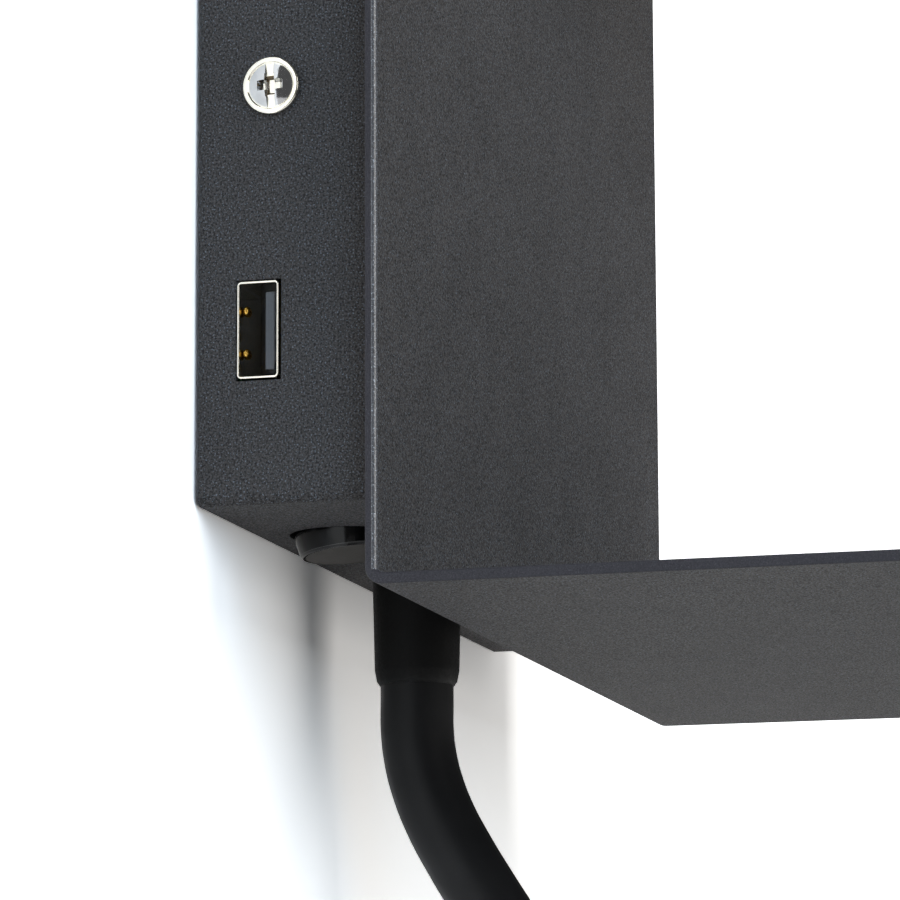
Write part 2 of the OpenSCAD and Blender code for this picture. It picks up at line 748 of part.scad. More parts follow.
module cord_inner() color(black)
    bar_z([cord_x, cord_y, floor_z - sleeve_l], cord_r, cord_top_z - floor_z + sleeve_l);

// ---- Wires inside the housing ----

module wire(p) tube(p, wire_r, 8, [1, 0.2, 0.1]);

// The right core turns off first, so that the three never cross
module mains_wires() color("saddlebrown") for (i = [0 : 2]) {
    x0 = cord_x + (i - 1) * core_step;
    x1 = way_x(i);
    rise = core_rise + (2 - i) * core_step;
    wire([[x0, cord_y, cord_top_z], [x0, cord_y, cord_top_z + rise],
        [(x0 + x1) / 2, (cord_y + wire_y) / 2, cord_top_z + rise + wire_r],
        [x1, wire_y, cord_top_z + rise + 2 * wire_r], [x1, wire_y, block_z0]]);
}

module driver_wires() color("steelblue") for (x = [way_x(0), way_x(1)])
    wire([[x, wire_y, block_z1], [x, wire_y, block_z1 + wire_lead], [x, wire_y, driver_z0 - wire_lead],
        [x, wire_y, driver_z0]]);

module switch_wires() color(black) {
    top = frame_top_z + block_h;
    way_z = block_z1 - wire_in;
    wire([[switch_x, switch_y, top], [switch_x, switch_y, top + wire_lead],
        [switch_x + wire_edge, wire_y, top + 2 * wire_lead],
        [switch_x + wire_side, wire_y, way_z - wire_edge],
        [block_x0 - wire_lead, wire_y, way_z], [block_x0, wire_y, way_z]]);
}

module usb_wires() color("firebrick") {
    x0 = board_x1 - wire_edge;
    z0 = usb_z - wire_edge - wire_leg;
    way_z = block_z0 + wire_in;
    wire([[x0, board_y, z0], [x0, board_y - wire_leg, z0], [x0 + wire_edge, cord_y, z0 + wire_side],
        [x0 + wire_lead, wire_y, z0 + wire_side + wire_lead], [block_x0 - wire_lead, wire_y, way_z],
        [block_x0, wire_y, way_z]]);
}

module head_lead() color(black) {
    x0 = 2 * wire_leg;
    lead_y = stem_end_y + wire_leg + wire_r;
    driver_top = driver_z0 + driver_h;
    wire([[x0, wire_y, driver_top], [x0, wire_y, driver_top + wire_lead],
        [wire_leg, lead_y, head_z - wire_lead - 2 * wire_leg],
        [0, lead_y + wire_r, head_z - 2 * wire_leg],
        [0, lead_y, head_z - wire_r], [0, stem_end_y + wire_r, head_z], [0, stem_end_y, head_z]]);
}

// ---- Rosette, bush and stem ----

module rosette() color(black) translate([0, front_y, head_z]) rotate([90, 0, 0]) difference() {
    rotate_extrude() {
        square([rosette_r, rosette_t - rosette_edge_r]);
        square([rosette_r - rosette_edge_r, rosette_t]);
        translate([rosette_r - rosette_edge_r, rosette_t - rosette_edge_r]) circle(rosette_edge_r);
    }
    translate([0, 0, -over]) cylinder(r = bush_r + run_fit, h = rosette_t + 2 * over);
    translate([0, 0, rosette_t - bush_flange_t]) cylinder(r = bush_flange_r + run_fit, h = rosette_t);
}

module swivel_bush() color(nickel) difference() {
    union() {
        bar_y([0, rosette_y, head_z], bush_r, bush_end_y - rosette_y);
        bar_y([0, rosette_y, head_z], bush_flange_r, bush_flange_t);
    }
    bar_y([0, rosette_y - over, head_z], journal_r + run_fit, bush_end_y - rosette_y + 2 * over);
}

module bush_nut() color(zinc) hex_y([0, well_y, head_z], bush_nut_r, bush_nut_h, bush_r + thread_fit);

module stem() color(black) difference() {
    union() {
        bar_y([0, rosette_y - face_fit, head_z], journal_r, stem_end_y - rosette_y + face_fit);
        bar_y([0, fork_y, head_z], stem_r, rosette_y - face_fit - fork_y);
        bar_y([0, fork_y, head_z], fork_round_r, fork_web);
        // the ears are trimmed to the round of the web
        intersection() {
            bar_y([0, pivot_y - fork_r, head_z], fork_round_r, fork_y + fork_web - pivot_y + fork_r);
            for (x = [-1, 1]) {
                lo = min(x * ear_x, x * (ear_x + ear_t));
                bar_x([lo, pivot_y, head_z], fork_r, ear_t);
                block([lo, pivot_y, head_z - fork_r], [lo + ear_t, fork_y + over, head_z + fork_r]);
            }
        }
    }
    bar_x([-2 * fork_r, pivot_y, head_z], pin_r + thread_fit, 4 * fork_r);
    bar_y([0, fork_y - over, head_z], stem_bore_r, stem_end_y - fork_y + 2 * over);
}

module stem_clip() color("silver") difference() {
    bar_y([0, bush_end_y + clip_slip, head_z], bush_r, clip_t);
    bar_y([0, bush_end_y - over, head_z], journal_r, clip_t + 3 * over);
}

module tilt_pin() color(nickel) {
    end_x = ear_x + ear_t;
    bar_x([-end_x, pivot_y, head_z], pin_r, 2 * end_x + tilt_nut_h - pin_short);
    bar_x([-end_x - pin_head_h, pivot_y, head_z], pin_head_r, pin_head_h);
}

module tilt_nut() color(nickel) difference() {
    translate([ear_x + ear_t, pivot_y, head_z]) rotate([0, 90, 0])
        cylinder(r = pin_head_r, h = tilt_nut_h, $fn = 6);
    bar_x([ear_x, pivot_y, head_z], pin_r + thread_fit, ear_t + tilt_nut_h + over);
}

module tilt_washers() color("silver") for (x = [-1, 1]) difference() {
    bar_x([x * (ear_x - washer_t / 2) - washer_t / 2, pivot_y, head_z], washer_r, washer_t);
    bar_x([-fork_r, pivot_y, head_z], pin_r + thread_fit, 2 * fork_r);
}

// ---- Lamp head, hanging down from the tilt pin ----

module under_pivot(down) translate([0, pivot_y, head_z - down]) children();

module shade_cap() color(black) difference() {
    union() {
        under_pivot(shade_top) cylinder(r = shade_r, h = cap_t);
        under_pivot(shade_top + spigot_l) cylinder(r = fit_r, h = spigot_l + over);
        block([-lug_t / 2, pivot_y - lug_half, head_z - shade_top + over],
            [lug_t / 2, pivot_y + lug_half, head_z]);
        bar_x([-lug_t / 2, pivot_y, head_z], lug_r, lug_t);
    }
    bar_x([-lug_t, pivot_y, head_z], pin_r + run_fit, 2 * lug_t);
}

module lamp_shade() color(black) under_pivot(shade_end) difference() {
    cylinder(r = shade_r, h = shade_l);
    translate([0, 0, -over]) cylinder(r = inside_r, h = shade_l + 2 * over);
}

module heat_sink() color("silver") under_pivot(sink_top + sink_h) {
    cylinder(r = fit_r, h = sink_base);
    cylinder(r = sink_core_r, h = sink_h);
    intersection() {
        cylinder(r = fit_r, h = sink_h);
        for (i = [0 : fins / 2 - 1]) rotate(i * 360 / fins)
            translate([-shade_r, -fin_t / 2, 0]) cube([2 * shade_r, fin_t, sink_h]);
    }
}

module led_board() color("white") under_pivot(led_top + led_board_t)
    cylinder(r = led_board_r, h = led_board_t);

module led_chip() color("gold") under_pivot(led_top + led_board_t + chip_t)
    cylinder(r = chip_r, h = chip_t);

module reflector() color("silver") {
    z0 = led_top + led_board_t;
    under_pivot(lens_top) rotate_extrude() polygon([
        [chip_r + reflector_gap, lens_top - z0], [chip_r + reflector_gap + reflector_t, lens_top - z0],
        [fit_r, 0], [fit_r - reflector_t, 0]
    ]);
}

module lens() color("lightcyan", 0.6) under_pivot(lens_bot) cylinder(r = fit_r, h = lens_t);

module lens_ring() color(black) under_pivot(ring_bot) difference() {
    cylinder(r = fit_r, h = ring_h);
    translate([0, 0, -over]) cylinder(r = fit_r - ring_w, h = ring_h + 2 * over);
}

// ---- Cord, coil and plug ----

module cord_free() color(black) tube(cord_route, cord_r, cord_sides);

module cord_coil() color(black) tube(coil_pts, cord_r, coil_sides);

// The tie goes round the bundle half way between the coil's two ends
module coil_tie() color("#333333") {
    mid_a = coil_from + tie_turn;
    in_r = coil_in_r - cord_r - tie_gap;
    out_r = coil_radius(tie_turn) + cord_r + tie_gap;
    deep = coil_step + cord_d + 2 * tie_gap;
    tall = out_r - in_r;
    translate(coil_centre + [0, coil_step / 2, 0]) rotate([0, -mid_a, 0])
        translate([(in_r + out_r) / 2, 0, 0])
        linear_extrude(tie_w, center = true) difference() {
            round_rect(tall + 2 * tie_t, deep + 2 * tie_t, tie_corner_r + tie_t);
            round_rect(tall, deep, tie_corner_r);
        }
}

module plug_body() color(black) translate(plug_at) difference() {
    rotate_extrude() polygon([
        [0, 0], [relief_r0, 0], [relief_r1, -plug_relief_l], [plug_neck_r, -plug_relief_l - plug_neck_l],
        [plug_grip_r, -plug_relief_l - plug_grip_in], [plug_grip_r, plug_grip_in - plug_end],
        [plug_r, plug_shoulder - plug_end], [plug_r, plug_edge - plug_end],
        [plug_r - plug_edge, -plug_end], [0, -plug_end]
    ]);
    for (x = [-1, 1]) translate([x * plug_r, 0, -plug_end])
        cube([2 * plug_notch_deep, plug_notch_w, 2 * plug_notch_h], center = true);
    for (y = [-1, 1]) translate([0, y * plug_r, -plug_end])
        cube([clip_w + 2 * clip_slack, 2 * clip_seat, 2 * plug_notch_h], center = true);
}

module plug_pins() color(nickel) for (x = [-1, 1])
    bar_z(plug_at + [x * plug_pin_gap / 2, 0, -plug_end - plug_pin_l], plug_pin_r, plug_pin_l);

module plug_clips() color(nickel) for (y = [0, 1]) translate(plug_at) mirror([0, y, 0])
    block([-clip_w / 2, plug_r - clip_seat, -plug_end],
        [clip_w / 2, plug_r - clip_seat + clip_plate_t, plug_notch_h - plug_end]);

wall_plate();
housing();
shelf_plate();
weld_studs();
stud_nuts();
side_screws();
usb_shell();
usb_insulator();
usb_contacts();
usb_board();
usb_transformer();
usb_capacitor();
board_pillars();
board_screws();
switch_frame();
switch_nuts();
switch_rocker();
switch_spring();
switch_block();
terminal_block();
led_driver();
driver_screws();
clamp_saddle();
clamp_strap();
clamp_screws();
cord_sleeve();
cord_inner();
mains_wires();
driver_wires();
switch_wires();
usb_wires();
head_lead();
rosette();
swivel_bush();
bush_nut();
stem();
stem_clip();
tilt_pin();
tilt_nut();
tilt_washers();
shade_cap();
lamp_shade();
heat_sink();
led_board();
led_chip();
reflector();
lens();
lens_ring();
cord_free();
cord_coil();
coil_tie();
plug_body();
plug_pins();
plug_clips();
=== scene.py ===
import json
from math import cos, pi, radians, sin, sqrt, tan

import bmesh
import bpy
from bpy.props import FloatProperty, FloatVectorProperty, PointerProperty
from mathutils import Matrix, Vector


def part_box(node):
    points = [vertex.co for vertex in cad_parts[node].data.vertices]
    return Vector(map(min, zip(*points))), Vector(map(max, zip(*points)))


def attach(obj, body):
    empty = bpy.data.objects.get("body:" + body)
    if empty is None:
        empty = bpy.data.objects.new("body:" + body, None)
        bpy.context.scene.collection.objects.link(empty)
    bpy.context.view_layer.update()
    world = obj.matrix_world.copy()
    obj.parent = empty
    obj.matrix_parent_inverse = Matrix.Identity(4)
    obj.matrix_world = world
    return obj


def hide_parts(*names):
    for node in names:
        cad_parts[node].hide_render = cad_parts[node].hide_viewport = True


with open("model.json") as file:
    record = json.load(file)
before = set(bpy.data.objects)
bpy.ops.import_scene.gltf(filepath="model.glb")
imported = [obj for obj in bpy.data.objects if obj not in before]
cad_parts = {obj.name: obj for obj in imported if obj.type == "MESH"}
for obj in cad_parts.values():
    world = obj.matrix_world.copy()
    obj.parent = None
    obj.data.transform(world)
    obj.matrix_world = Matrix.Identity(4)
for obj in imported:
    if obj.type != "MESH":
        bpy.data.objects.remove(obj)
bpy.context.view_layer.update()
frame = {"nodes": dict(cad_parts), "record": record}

bl_info = {
    "name": "Wall lamp with shelf",
    "version": (1, 0, 0),
    "blender": (4, 5, 0),
    "location": "View3D > Sidebar > Lamp",
    "description": "Finishes a wall lamp with a folded steel shelf, a USB socket and a rocker switch",
    "category": "Object",
}

MM = 0.001
SHARP = radians(30)
WELD = 1e-6  # metres; corners closer than this are one
WELD_MM = 1e-4  # the same for shapes that are modelled in millimetres

# Places that follow from the CAD nodes, in metres
PLATE_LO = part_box("shelf_plate")[0]
HOUSING_LO, HOUSING_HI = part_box("housing")
SHELL_LO, SHELL_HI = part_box("usb_shell")
SHEET_T = 1.6 * MM
FRONT_Y = HOUSING_LO.y - SHEET_T
SHELF_TOP = PLATE_LO.z + SHEET_T

# The cord's route, as in the CAD model: straight out of the sleeve, then forward and down
CORD_D = 10.6 * MM
CORD_ROUTE = [
    (-18, -13.5, -130), (-18, -13.5, -133), (-18, -13.5, -136), (-18, -13.9, -140), (-18, -15, -144.5),
    (-18, -17, -149.5), (-18, -20, -155), (-18, -23.4, -160.5), (-18, -26.6, -165.5),
    (-18, -29.4, -170.5), (-18, -31.4, -175.5), (-18, -32.6, -180.5), (-18, -33, -185.5),
    (-18, -33, -190.5), (-18, -33, -196),
]
LEAD_R = 50 * MM
LEAD_TURN = radians(60)
LEAD_RINGS = 4
COIL_D = 122 * MM
COIL_STEP = 11.5 * MM
COIL_TURN = radians(1500)
COIL_FROM = radians(120)
COIL_POINTS = 24  # to each turn
COIL_IN_R = COIL_D / 2 - COIL_STEP * COIL_TURN / radians(1440)
COIL_OUT_R = COIL_IN_R + COIL_STEP * COIL_TURN / radians(720)
COIL_START = Vector(CORD_ROUTE[-1]) * MM
LEAD_END = COIL_START + Vector((-LEAD_R * (1 - cos(LEAD_TURN)), 0, -CORD_D - LEAD_R * sin(LEAD_TURN)))
COIL_CENTRE = LEAD_END - COIL_OUT_R * Vector((cos(COIL_FROM), 0, sin(COIL_FROM)))
HALF_CLIMB = radians(90)
TAIL_L = 30 * MM


def coil_point(a):
    """Point of the coil after it has turned through a: it spirals in, climbs a layer and spirals out."""
    r = COIL_IN_R + COIL_STEP * abs(a - COIL_TURN / 2) / (2 * pi)
    t = min(1, max(0, (a - COIL_TURN / 2 + HALF_CLIMB) / (2 * HALF_CLIMB)))
    climb = COIL_STEP * t * t * (3 - 2 * t)
    return COIL_CENTRE + Vector((r * cos(COIL_FROM + a), climb, r * sin(COIL_FROM + a)))


def cord_points():
    """The cord's centreline from the sleeve's tip to the plug, in metres."""
    points = [Vector(p) * MM for p in CORD_ROUTE]
    for i in range(LEAD_RINGS):
        b = LEAD_TURN * i / LEAD_RINGS
        points.append(COIL_START + Vector((-LEAD_R * (1 - cos(b)), 0, -CORD_D - LEAD_R * sin(b))))
    count = round(COIL_TURN / (2 * pi) * COIL_POINTS)
    points += [coil_point(COIL_TURN * i / count) for i in range(count + 1)]
    tail = points[-1] - Vector((0, 0, TAIL_L))
    return points + [tail + Vector((0, 0, CORD_D)), tail]


PLUG_AT = coil_point(COIL_TURN) - Vector((0, 0, TAIL_L))


def linear(colour):
    """Linear red, green, blue of an sRGB hex value such as 48494c."""
    parts = [int(colour[i:i + 2], 16) / 255 for i in (0, 2, 4)]
    return [p / 12.92 if p <= 0.04045 else ((p + 0.055) / 1.055) ** 2.4 for p in parts]


# ---- Properties ----


def length(name, text, default):
    """A size in metres that the sidebar shows."""
    return FloatProperty(name=name, description=text, default=default, min=0, precision=5, unit="LENGTH")


def hue(name, text, default):
    """A colour that the sidebar shows, from an sRGB hex value."""
    return FloatVectorProperty(
        name=name, description=text, default=linear(default), min=0, max=1, subtype="COLOR"
    )


class LampSizes(bpy.types.PropertyGroup):
    """Sizes of the finish that the CAD model leaves out."""

    front_edge: length("Front edge", "Radius of the sheet's edges on the room side", 0.9 * MM)
    rear_edge: length("Rear edge", "Radius of the sheet's edges on the wall side", 0.2 * MM)
    small_edge: length("Small edge", "Radius of the edges of small turned and pressed parts", 0.12 * MM)
    coat_grain: length("Coat grain", "Width of the powder coat's grain", 0.3 * MM)
    rib_step: length("Rib step", "Step of the ribs on the plug's strain relief", 3.2 * MM)


class LampColours(bpy.types.PropertyGroup):
    """Main colours of the lamp."""

    coat: hue("Coat", "Graphite powder coat of the shelf plate and housing", "4c4a4a")
    lamp: hue("Lamp head", "Black powder coat of the lamp head", "2a2a2c")
    cord: hue("Cord", "Jacket of the mains cord", "171718")
    rocker: hue("Rocker", "Matt face of the rocker", "2a2724")


class LampStage(bpy.types.PropertyGroup):
    """Light that the lamp is shown in."""

    left: FloatProperty(name="Left", description="Power of the left lamp", default=24, min=0, unit="POWER")
    front: FloatProperty(name="Front", description="Power of the front lamp", default=24, min=0, unit="POWER")
    low: FloatProperty(name="Low", description="Power of the low lamp", default=15, min=0, unit="POWER")
    sky: FloatProperty(name="Sky", description="Level of the light from all round", default=0.14, min=0)


# ---- Shapes ----


def merged(node):
    """A copy of a CAD node's mesh with its loose triangles joined into whole faces."""
    shape = bmesh.new()
    shape.from_mesh(frame["nodes"][node].data)
    bmesh.ops.remove_doubles(shape, verts=shape.verts, dist=WELD)
    bmesh.ops.dissolve_limit(shape, angle_limit=radians(1), verts=shape.verts, edges=shape.edges)
    return shape


def sharp_edges(shape, chosen=lambda edge: True):
    """The edges of a shape that turn by more than 30 degrees."""
    return [
        e for e in shape.edges
        if len(e.link_faces) == 2 and e.calc_face_angle(0) > SHARP and chosen(e)
    ]


def round_off(shape, edges, radius, segments=2):
    """Rounds the given edges, and returns the new faces."""
    made = bmesh.ops.bevel(
        shape, geom=edges, offset=radius, offset_type="OFFSET", affect="EDGES", segments=segments,
        profile=0.5, material=-1, clamp_overlap=True,
    )
    shape.normal_update()
    return made["faces"]


def filleted(corners, steps=4):
    """An outline through (x, y, radius) corners, in which each radius becomes an arc."""
    out = []
    for i, (x, y, r) in enumerate(corners):
        here = Vector((x, y))
        if not r:
            out.append(here)
            continue
        to_last = (Vector(corners[i - 1][:2]) - here).normalized()
        to_next = (Vector(corners[i + 1][:2]) - here).normalized()
        half = to_last.angle(to_next) / 2
        middle = here + (to_last + to_next).normalized() * r / sin(half)
        start = here + to_last * r / tan(half) - middle
        end = here + to_next * r / tan(half) - middle
        sweep = pi - 2 * half
        for k in range(steps + 1):
            t = k / steps
            out.append(middle + (start * sin((1 - t) * sweep) + end * sin(t * sweep)) / sin(sweep))
    return out


def turned(outline, steps=64):
    """A solid turned from an outline of (radius, height) points that starts and ends on the axis."""
    shape = bmesh.new()
    points = [shape.verts.new((r, 0, h)) for r, h in outline]
    edges = [shape.edges.new(pair) for pair in zip(points, points[1:])]
    bmesh.ops.spin(
        shape, geom=points + edges, cent=(0, 0, 0), axis=(0, 0, 1), angle=2 * pi, steps=steps,
        use_merge=True,
    )
    bmesh.ops.remove_doubles(shape, verts=shape.verts, dist=WELD_MM)
    bmesh.ops.recalc_face_normals(shape, faces=shape.faces)
    return shape


def block(shape, size, at, taper=1):
    """Adds a block to a shape; taper is how much of its top's size its foot has."""
    place = Matrix.Translation(at) @ Matrix.Diagonal((*size, 1))
    corners = bmesh.ops.create_cube(shape, size=1, matrix=place)["verts"]
    foot = [v for v in corners if v.co.z < at[2]]
    bmesh.ops.scale(shape, vec=(taper, taper, 1), space=Matrix.Translation(-Vector(at)), verts=foot)


def cut(shape, cutter):
    """The shape without the space that the cutter fills."""
    both = []
    for part in (shape, cutter):
        mesh = bpy.data.meshes.new("cut")
        part.to_mesh(mesh)
        part.free()
        both.append(bpy.data.objects.new("cut", mesh))
        bpy.context.scene.collection.objects.link(both[-1])
    knife = both[0].modifiers.new("Cut", "BOOLEAN")
    knife.operation = "DIFFERENCE"
    knife.solver = "EXACT"
    knife.use_self = True
    knife.object = both[1]
    result = both[0].evaluated_get(bpy.context.evaluated_depsgraph_get()).to_mesh()
    left = bmesh.new()
    left.from_mesh(result)
    for thing in both:
        bpy.data.meshes.remove(thing.data)
    bmesh.ops.remove_doubles(left, verts=left.verts, dist=WELD_MM)
    return left


def join(shape, other, place=Matrix.Identity(4)):
    """Adds another shape to a shape, in its place."""
    mesh = bpy.data.meshes.new("join")
    other.to_mesh(mesh)
    mesh.transform(place)
    shape.from_mesh(mesh)
    bpy.data.meshes.remove(mesh)


def place_mm(shape, at, towards=Vector((0, 0, 1)), turn=0):
    """Puts a shape that was modelled in millimetres along +Z where it belongs, in metres."""
    matrix = (
        Matrix.Translation(at) @ towards.to_track_quat("Z", "Y").to_matrix().to_4x4()
        @ Matrix.Rotation(turn, 4, "Z") @ Matrix.Scale(MM, 4)
    )
    bmesh.ops.transform(shape, matrix=matrix, verts=shape.verts)


def piece(name, shape, body, materials, stands_for=()):
    """Makes a shape an object that rides a body, takes its finish from a slot and may replace nodes."""
    mesh = bpy.data.meshes.new(name)
    shape.to_mesh(mesh)
    shape.free()
    mesh.polygons.foreach_set("use_smooth", [True] * len(mesh.polygons))
    made = bpy.data.objects.new(name, mesh)
    bpy.context.scene.collection.objects.link(made)
    for each in materials:
        mesh.materials.append(each)
    made.modifiers.new("Even shading", "WEIGHTED_NORMAL").weight = 80
    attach(made, body)
    if stands_for:
        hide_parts(*stands_for)
    return made


def softened(node, body, radius, segments=2):
    """A finished copy of a CAD node with its sharp edges rounded."""
    shape = merged(node)
    round_off(shape, sharp_edges(shape), radius, segments)
    slot = slot_of(node)
    return piece(node + "_finished", shape, body, [finish(slot)], [node])


def slot_of(node):
    """The material slot that the record gives a node."""
    return next(s["material_slot"] for s in frame["record"]["subparts"] if s["node"] == node)


# ---- Materials ----

NOISE = "ShaderNodeTexNoise"
WAVE = "ShaderNodeTexWave"  # its bands are pi / 10 of 1 / Scale apart
RANGE = "ShaderNodeMapRange"  # takes a value, the range it has and the range it gets
MIX = "ShaderNodeMix"  # its inputs 0, 6 and 7 are the amount and two colours, and output 2 is their mix
MATH = "ShaderNodeMath"


def add(tree, kind, inputs=(), **fields):
    """Adds a node, sets its fields, and sets or links its inputs, given in order or by socket."""
    node = tree.nodes.new(kind)
    for key, value in fields.items():
        setattr(node, key, value)
    for key, value in inputs.items() if isinstance(inputs, dict) else enumerate(inputs):
        if isinstance(value, bpy.types.NodeSocket):
            tree.links.new(value, node.inputs[key])
        else:
            node.inputs[key].default_value = value
    return node


def start(name):
    """A new material, its node tree and its Object coordinates."""
    made = bpy.data.materials.new(name)
    made.use_nodes = True
    made.node_tree.nodes.clear()
    return made, made.node_tree, add(made.node_tree, "ShaderNodeTexCoord").outputs["Object"]


def shade(colour, factor):
    """A colour made lighter or darker, with its alpha."""
    return [min(1, c * factor) for c in colour[:3]] + [1]


def close(tree, colour, roughness, relief=None, depth=0, **fixed):
    """Ends a tree in a principled shader; relief is a height pattern that stands depth metres high."""
    inputs = {"Base Color": colour, "Roughness": roughness}
    inputs.update({name.replace("_", " "): value for name, value in fixed.items()})
    if relief is not None:
        bump = add(tree, "ShaderNodeBump", {"Height": relief, "Distance": depth})
        inputs["Normal"] = bump.outputs["Normal"]
    shader = add(tree, "ShaderNodeBsdfPrincipled", inputs)
    add(tree, "ShaderNodeOutputMaterial", {"Surface": shader.outputs["BSDF"]})


def powder_coat(name, colour, grain, glint_colour="8f9cab", matt=0.7, gloss=0.07, valley_shade=0.4):
    """Baked powder coat: a matt skin of fused grains, with painted light on their tops and painted shade
    between them, and a few pale specks painted in as glints.

    valley_shade is the painted shade between the grains, as a share of the colour; the tops are painted
    lighter by as much.
    """
    made, tree, place = start(name)
    light = 1.95 - valley_shade
    grains = add(tree, NOISE, {"Vector": place, "Scale": 1 / grain, "Roughness": 0.6}).outputs["Fac"]
    fine = add(tree, NOISE, {"Vector": place, "Scale": 1 / (grain * 0.8), "Detail": 1}).outputs["Fac"]
    # Pale specks painted into the colour as glints
    painted_glints = add(tree, RANGE, [fine, 0.6, 0.74, 0, 0.7]).outputs[0]
    cloud = add(tree, NOISE, {"Vector": place, "Scale": 1 / (14 * MM)}).outputs["Fac"]
    broad = add(tree, RANGE, [cloud, 0.3, 0.7, 0.94, 1.06]).outputs[0]
    # Painted light and shade: grain tops lighter, valleys darker, keyed to the same relief as the bump
    lit_grain_tops = add(tree, RANGE, [grains, 0.35, 0.65, 0, 1]).outputs[0]
    tones = {0: lit_grain_tops, 6: shade(colour, valley_shade), 7: shade(colour, light)}
    body = add(tree, MIX, tones, data_type="RGBA").outputs[2]
    tint = add(tree, MIX, {0: painted_glints, 6: body, 7: linear(glint_colour) + [1]}, data_type="RGBA").outputs[2]
    toned = add(tree, "ShaderNodeVectorMath", {0: tint, "Scale": broad}, operation="SCALE").outputs[0]
    rough = add(tree, RANGE, [grains, 0.35, 0.65, matt + 0.1, matt - 0.08]).outputs[0]
    close(tree, toned, rough, grains, 0.05 * MM, Specular_IOR_Level=gloss)
    return made


def plated(name, colour, roughness, wave=0.0):
    """Plated or bare metal: bright, with drawing marks and a slight wave in what it mirrors.

    Real drawing marks are too fine to show, so they are drawn coarser.
    """
    made, tree, place = start(name)
    fine = add(tree, NOISE, {"Vector": place, "Scale": 1 / (0.15 * MM)}).outputs["Fac"]
    broad = add(tree, NOISE, {"Vector": place, "Scale": 1 / (1.2 * MM), "Detail": 1}).outputs["Fac"]
    rough = add(tree, RANGE, [fine, 0.3, 0.7, roughness * 0.8, roughness * 1.25]).outputs[0]
    tone = add(tree, RANGE, [broad, 0.35, 0.65, 0, 1]).outputs[0]
    tones = {0: tone, 6: shade(colour, 0.93), 7: shade(colour, 1.04)}
    close(tree, add(tree, MIX, tones, data_type="RGBA").outputs[2], rough, broad, wave, Metallic=1.0)
    return made


def moulded(name, colour, roughness, grain=0.2 * MM, depth=0.004 * MM, contrast=0.12, gloss=0.5):
    """Injection moulded plastic: even colour, with the mould's fine spark-eroded grain."""
    made, tree, place = start(name)
    grains = add(tree, NOISE, {"Vector": place, "Scale": 1 / grain}).outputs["Fac"]
    flow = add(tree, NOISE, {"Vector": place, "Scale": 1 / (9 * MM)}).outputs["Fac"]
    tone = add(tree, RANGE, [grains, 0.3, 0.7, 0, 1]).outputs[0]
    tones = {0: tone, 6: shade(colour, 1 - contrast), 7: shade(colour, 1 + contrast)}
    tint = add(tree, MIX, tones, data_type="RGBA").outputs[2]
    rough = add(tree, RANGE, [flow, 0.3, 0.7, roughness * 0.92, roughness * 1.08]).outputs[0]
    close(tree, tint, rough, grains, depth, Specular_IOR_Level=gloss)
    return made


def jacket(name, colour):
    """Extruded cable jacket: satin, with faint dust and long soft ripples from the extruder.

    The dust is drawn coarser than it is, so that it shows.
    """
    made, tree, place = start(name)
    roughness = 0.5
    ripple = add(tree, NOISE, {"Vector": place, "Scale": 1 / (5 * MM)}).outputs["Fac"]
    grit = add(tree, NOISE, {"Vector": place, "Scale": 1 / (0.25 * MM)}).outputs["Fac"]
    dust = add(tree, RANGE, [grit, 0.6, 0.8, 0, 0.35]).outputs[0]
    tones = {0: dust, 6: shade(colour, 1), 7: shade(colour, 2.2)}
    tint = add(tree, MIX, tones, data_type="RGBA").outputs[2]
    rough = add(tree, RANGE, [ripple, 0.3, 0.7, roughness * 0.85, roughness * 1.15]).outputs[0]
    close(tree, tint, rough, ripple, 0.06 * MM, Specular_IOR_Level=0.2)
    return made


def rubber(name, colour):
    """Soft moulded rubber: deep matt black with a dry, slightly dusty skin."""
    made, tree, place = start(name)
    skin = add(tree, NOISE, {"Vector": place, "Scale": 1 / (0.35 * MM)}).outputs["Fac"]
    dust = add(tree, RANGE, [skin, 0.55, 0.75, 0, 0.4]).outputs[0]
    tones = {0: dust, 6: shade(colour, 0.9), 7: shade(colour, 1.9)}
    tint = add(tree, MIX, tones, data_type="RGBA").outputs[2]
    rough = add(tree, RANGE, [skin, 0.3, 0.7, 0.5, 0.72]).outputs[0]
    close(tree, tint, rough, skin, 0.012 * MM, Specular_IOR_Level=0.15)
    return made


def circuit_board(name, colour):
    """Glass-epoxy board under green resist: copper tracks show as lighter lines."""
    made, tree, place = start(name)
    pitch = 2.54 * MM
    # Tracks lie 5.6 mm apart, about two pitches of the board's grid
    bands = {"Vector": place, "Scale": 1 / (7 * pitch), "Distortion": 2.0, "Detail": 1.0}
    tracks = add(tree, WAVE, bands, bands_direction="Z").outputs["Fac"]
    copper = add(tree, RANGE, [tracks, 0.6, 0.65, 0, 1]).outputs[0]
    tones = {0: copper, 6: shade(colour, 0.8), 7: shade(colour, 1.9)}
    close(tree, add(tree, MIX, tones, data_type="RGBA").outputs[2], 0.3, tracks, 0.03 * MM)
    return made


def wound_tape(name, colour):
    """Polyester tape wound on a transformer: glossy turns that overlap."""
    made, tree, place = start(name)
    overlap = 4 * MM
    # Turns lie 8.8 mm apart, a little over two overlaps
    bands = {"Vector": place, "Scale": 1 / (7 * overlap), "Distortion": 0.4}
    turns = add(tree, WAVE, bands, bands_direction="Z", wave_profile="SAW").outputs["Fac"]
    tones = {0: turns, 6: shade(colour, 0.8), 7: shade(colour, 1.15)}
    close(tree, add(tree, MIX, tones, data_type="RGBA").outputs[2], 0.28, turns, 0.05 * MM)
    return made


